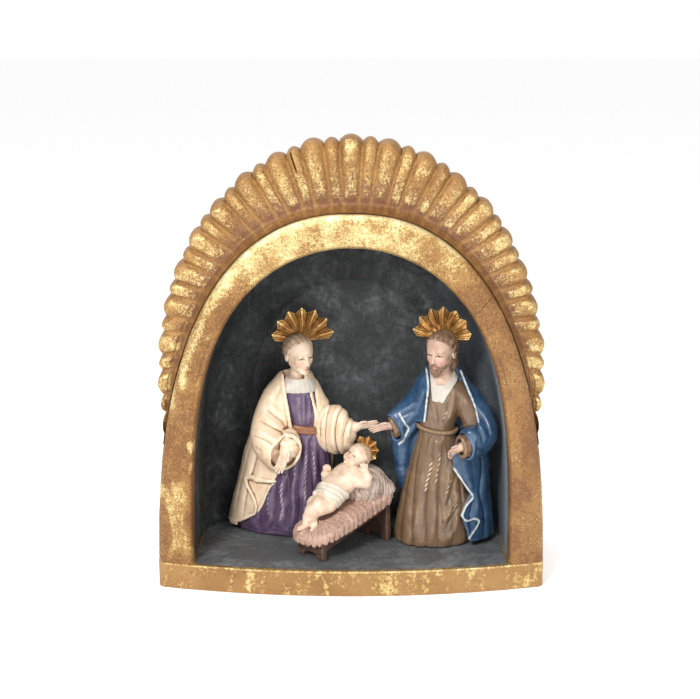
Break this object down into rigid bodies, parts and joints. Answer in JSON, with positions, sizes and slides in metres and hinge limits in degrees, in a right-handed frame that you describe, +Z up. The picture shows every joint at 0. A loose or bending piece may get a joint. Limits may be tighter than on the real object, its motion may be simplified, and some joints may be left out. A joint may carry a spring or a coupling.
{
  "type": "nativity creche",
  "caption": "Gilded round-topped niche with a fluted crest, holding a kneeling woman and man and a child in a manger; stands on a shelf.",
  "frame": {"origin": "middle of the footprint, on the surface the niche stands on", "axes": "+Z up, the open front faces -Y, the woman is on the -X side"},
  "size_m": [0.3, 0.15, 0.35],
  "materials": {
    "gold_leaf": "gilded over brown, worn and toned",
    "charcoal_paint": "matte brushed paint",
    "bare_wood": "unfinished",
    "screw_steel": "dull",
    "halo_gold": "toned gold",
    "purple_paint": "glossy paint",
    "cream_paint": "satin, brown in the folds",
    "linen_paint": "satin",
    "belt_paint": "satin",
    "skin_paint": "satin",
    "hair_paint": "satin",
    "blue_paint": "satin with silver edges",
    "taupe_paint": "glossy paint",
    "rope_paint": "satin",
    "manger_paint": "satin",
    "hay_paint": "matte paint",
    "pillow_paint": "matte paint",
    "loincloth_paint": "satin"
  },
  "bodies": {
    "niche": {"base_board": "gold_leaf", "left_jamb": "gold_leaf", "right_jamb": "gold_leaf", "arch_head": "gold_leaf", "crest_left_lower": "gold_leaf", "crest_left_upper": "gold_leaf", "crest_crown": "gold_leaf", "crest_right_upper": "gold_leaf", "crest_right_lower": "gold_leaf", "left_cheek": "charcoal_paint", "right_cheek": "charcoal_paint", "vault": "charcoal_paint", "back_panel": "charcoal_paint", "back_screw_1": "screw_steel", "cheek_dowel_1": "bare_wood", "back_screw_2": "screw_steel", "cheek_dowel_2": "bare_wood", "back_screw_3": "screw_steel", "cheek_dowel_3": "bare_wood", "back_screw_4": "screw_steel", "cheek_dowel_4": "bare_wood"},
    "woman": {"woman_gown": "purple_paint", "woman_belt": "belt_paint", "woman_collar": "linen_paint", "woman_head": "skin_paint", "woman_hair": "hair_paint", "woman_mantle": "cream_paint", "woman_halo": "halo_gold", "woman_right_hand": "skin_paint", "woman_left_hand": "skin_paint", "woman_peg": "bare_wood"},
    "man": {"man_tunic": "taupe_paint", "man_belt": "rope_paint", "man_collar": "linen_paint", "man_head": "skin_paint", "man_beard": "hair_paint", "man_hair": "hair_paint", "man_cloak": "blue_paint", "man_halo": "halo_gold", "man_right_cuff": "taupe_paint", "man_left_cuff": "taupe_paint", "man_right_hand": "skin_paint", "man_left_hand": "skin_paint", "man_peg": "bare_wood"},
    "manger": {"manger_near_end": "manger_paint", "manger_far_end": "manger_paint", "manger_left_rail": "manger_paint", "manger_right_rail": "manger_paint", "manger_trough": "manger_paint", "hay": "hay_paint", "pillow": "pillow_paint"},
    "child": {"child_body": "skin_paint", "child_head": "skin_paint", "child_hair": "hair_paint", "child_loincloth": "loincloth_paint", "child_halo": "halo_gold"}
  },
  "joints": [
    {"name": "woman_lift", "type": "slide", "parent": "niche", "child": "woman", "axis": [0, 0, 1], "range_m": [0, 0.012]},
    {"name": "man_lift", "type": "slide", "parent": "niche", "child": "man", "axis": [0, 0, 1], "range_m": [0, 0.012]},
    {"name": "manger_out", "type": "slide", "parent": "niche", "child": "manger", "axis": [0, -0.9404, 0.3401], "range_m": [0, 0.105]},
    {"name": "child_lift", "type": "slide", "parent": "manger", "child": "child", "axis": [0, -0.4983, 0.867], "range_m": [0, 0.06]}
  ]
}
